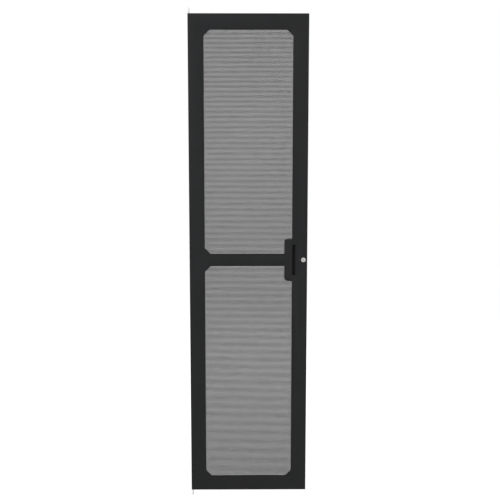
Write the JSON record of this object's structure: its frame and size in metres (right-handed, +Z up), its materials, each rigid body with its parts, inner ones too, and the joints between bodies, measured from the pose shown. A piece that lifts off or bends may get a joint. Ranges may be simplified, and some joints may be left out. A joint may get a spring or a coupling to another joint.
{
  "type": "perforated rack door",
  "caption": "Tall hinged door for an equipment cabinet: folded steel frame with two perforated sheets, a crossbar, a recessed finger pull, a cam lock and sprung hinge pins.",
  "frame": {"origin": "on the hinge axis, at the shoulder of the lower hinge pin, which stands on the cabinet's lower bracket", "axes": "+X from the hinge side to the lock side, +Y from the front face to the back, +Z up along the hinge axis"},
  "size_m": [0.4935, 0.0294, 2.0475],
  "materials": {
    "frame_paint": "satin black powder coat with a fine texture",
    "sheet_paint": "satin black powder coat",
    "zinc_steel": "bright zinc plating",
    "lock_nickel": "satin nickel plating",
    "spring_steel": "drawn spring wire, oiled",
    "pull_plastic": "matt moulded black",
    "buffer_rubber": "plain black rubber"
  },
  "bodies": {
    "door": {"door_panel": "frame_paint", "upper_perforated_sheet": "sheet_paint", "lower_perforated_sheet": "sheet_paint", "upper_sheet_studs": "zinc_steel", "lower_sheet_studs": "zinc_steel", "upper_sheet_nuts": "zinc_steel", "lower_sheet_nuts": "zinc_steel", "pull_pocket": "pull_plastic", "pull_pocket_studs": "zinc_steel", "pull_pocket_nuts": "zinc_steel", "lock_housing": "lock_nickel", "lock_nut": "lock_nickel", "upper_hinge_bracket": "frame_paint", "lower_hinge_bracket": "frame_paint", "rubber_buffers": "buffer_rubber", "earth_stud": "zinc_steel", "earth_nut": "zinc_steel"},
    "lock_core": {"lock_plug": "lock_nickel", "lock_stop_washer": "zinc_steel", "lock_cam": "zinc_steel", "cam_screw": "zinc_steel"},
    "upper_pin": {"upper_hinge_pin": "zinc_steel", "upper_hinge_clip": "spring_steel", "upper_hinge_spring": "spring_steel"},
    "lower_pin": {"lower_hinge_pin": "zinc_steel", "lower_hinge_clip": "spring_steel", "lower_hinge_spring": "spring_steel"}
  },
  "joints": [
    {"name": "lock_turn", "type": "hinge", "parent": "door", "child": "lock_core", "pos_m": [0.4675, 0, 1.001], "axis": [0, 1, 0], "range_deg": [0, 90]},
    {"name": "upper_pin_slide", "type": "slide", "parent": "door", "child": "upper_pin", "axis": [0, 0, -1], "range_m": [0, 0.0225], "stiffness_N_per_m": 300, "springref_m": -0.02, "deforming": ["upper_hinge_spring"]},
    {"name": "lower_pin_slide", "type": "slide", "parent": "door", "child": "lower_pin", "axis": [0, 0, 1], "range_m": [0, 0.025], "stiffness_N_per_m": 300, "springref_m": -0.02, "deforming": ["lower_hinge_spring"]}
  ]
}
